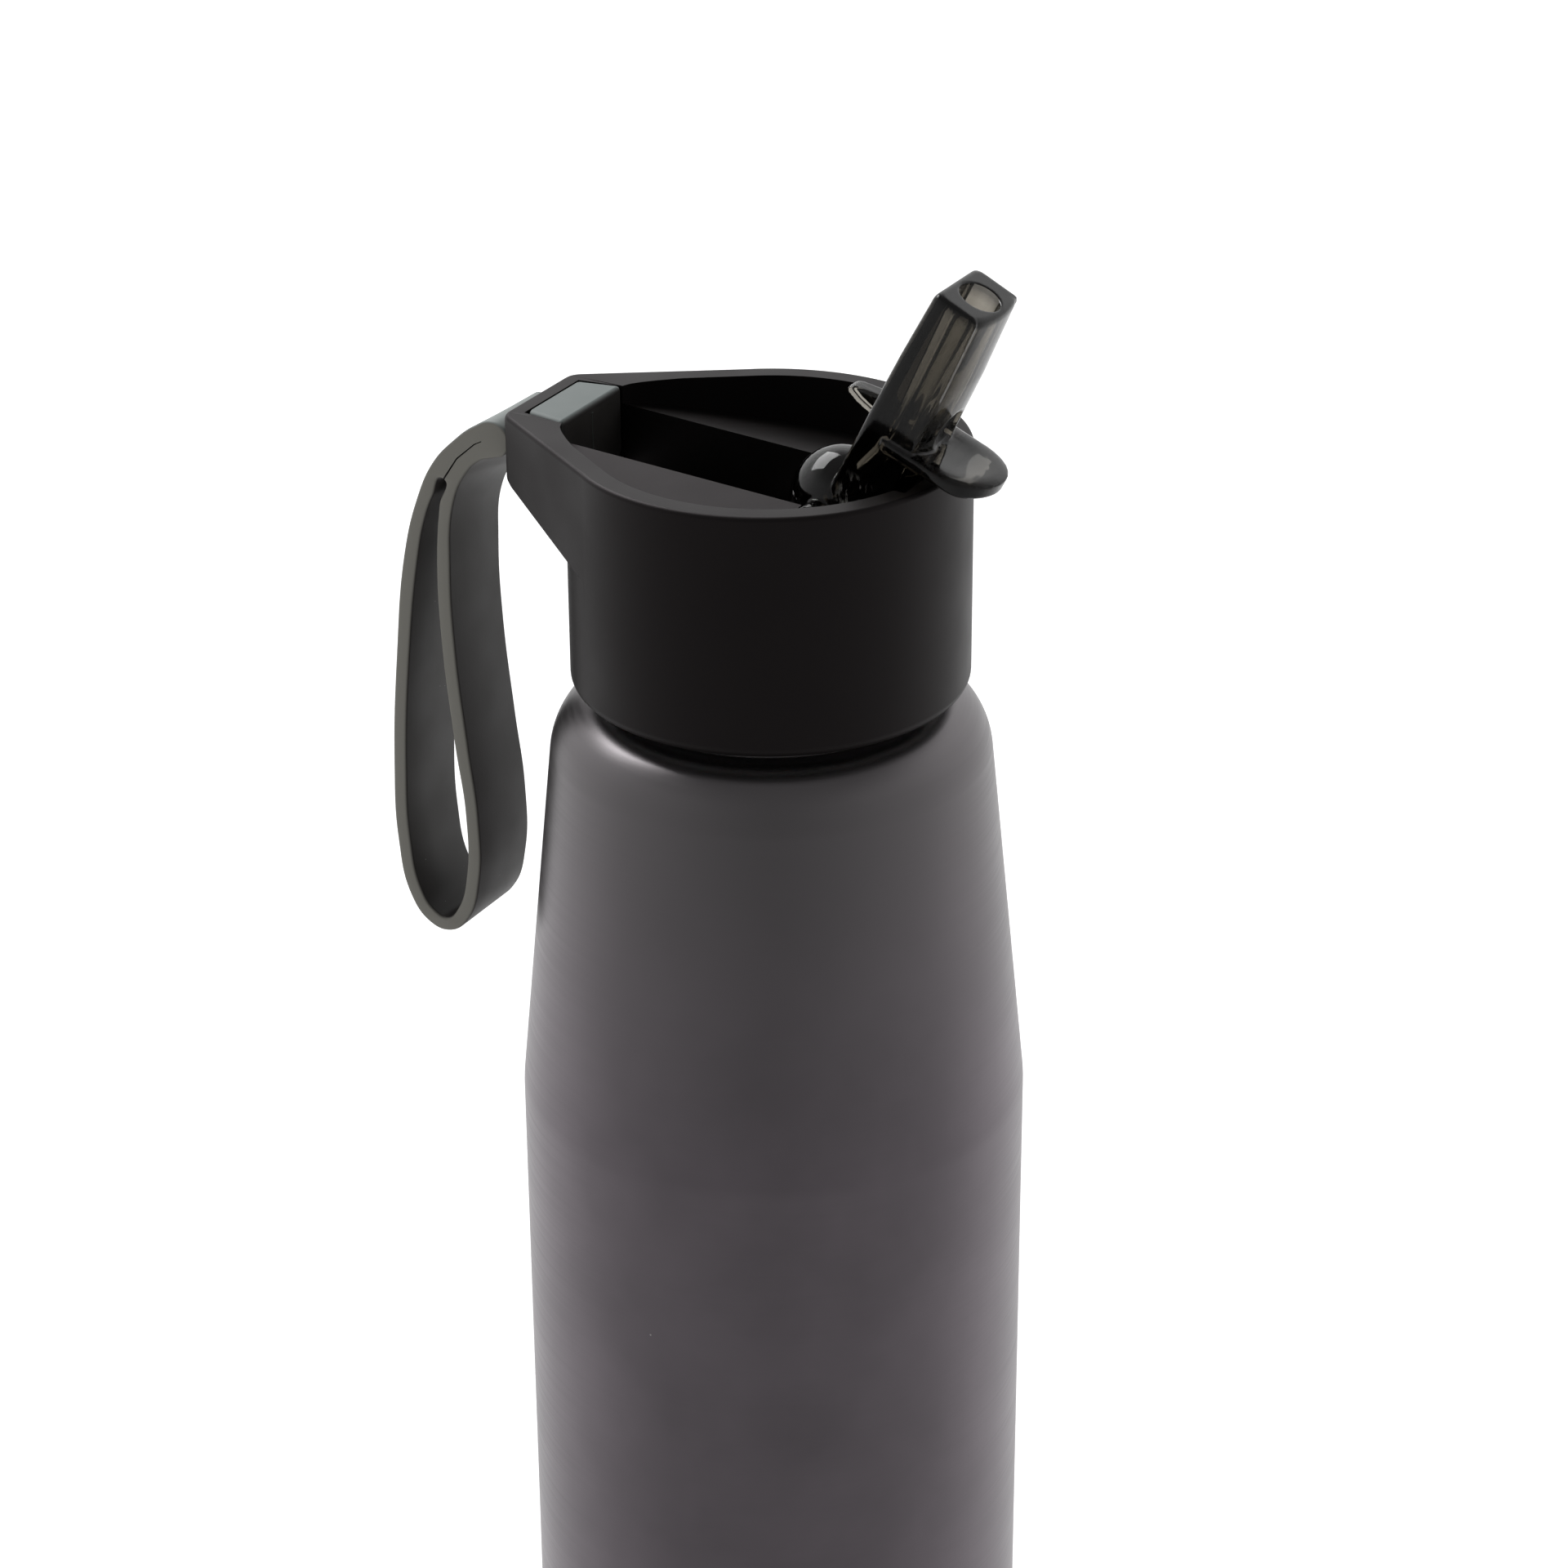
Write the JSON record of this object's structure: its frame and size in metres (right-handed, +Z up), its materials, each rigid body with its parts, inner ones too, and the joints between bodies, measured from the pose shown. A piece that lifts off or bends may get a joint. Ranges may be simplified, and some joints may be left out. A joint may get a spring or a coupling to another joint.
{
  "type": "drinking bottle",
  "caption": "Aluminium drinking bottle with a tapered shoulder, black screw lid, flip-up translucent straw spout and silicone carry loop.",
  "frame": {"origin": "centre of the flat base, on the surface the bottle stands on", "axes": "+Z up the bottle's axis, +X towards the side the open spout leans to, -X towards the carry loop"},
  "size_m": [0.097, 0.073, 0.2732],
  "materials": {
    "bottle_metal": "satin anthracite lacquer over turned aluminium",
    "lid_plastic": "fine matte moulded black",
    "liner_plastic": "plain moulded black",
    "seal_rubber": "soft matte silicone",
    "straw_plastic": "milky clear tube",
    "spout_plastic": "glossy smoke-black translucent",
    "loop_rubber": "warm dark grey satin silicone"
  },
  "bodies": {
    "bottle": {"bottle_shell": "bottle_metal"},
    "gasket": {"neck_gasket": "seal_rubber"},
    "lid": {"lid_shell": "lid_plastic", "lid_liner": "liner_plastic", "spout_ball_seal": "seal_rubber", "vent_valve": "seal_rubber", "straw": "straw_plastic", "strap_anchor": "loop_rubber"},
    "spout": {"spout": "spout_plastic"},
    "loop": {"carry_loop": "loop_rubber"}
  },
  "joints": [
    {"name": "lid_lift", "type": "slide", "parent": "bottle", "child": "gasket", "axis": [0, 0, 1], "range_m": [0, 0.006]},
    {"name": "lid_twist", "type": "hinge", "parent": "gasket", "child": "lid", "pos_m": [0, 0, 0.2273], "axis": [0, 0, 1], "range_deg": [0, 540]},
    {"name": "spout_flip", "type": "hinge", "parent": "lid", "child": "spout", "pos_m": [0.01135, 0, 0.2394], "axis": [0, 1, 0], "range_deg": [-116.5, 0]},
    {"name": "loop_swing", "type": "hinge", "parent": "lid", "child": "loop", "pos_m": [-0.0409, 0, 0.2401], "axis": [0, 1, 0], "range_deg": [0, 105]}
  ],
  "couplings": [
    {"joint": "lid_lift", "follows": "lid_twist", "m_per_rad": 0.0006366}
  ]
}
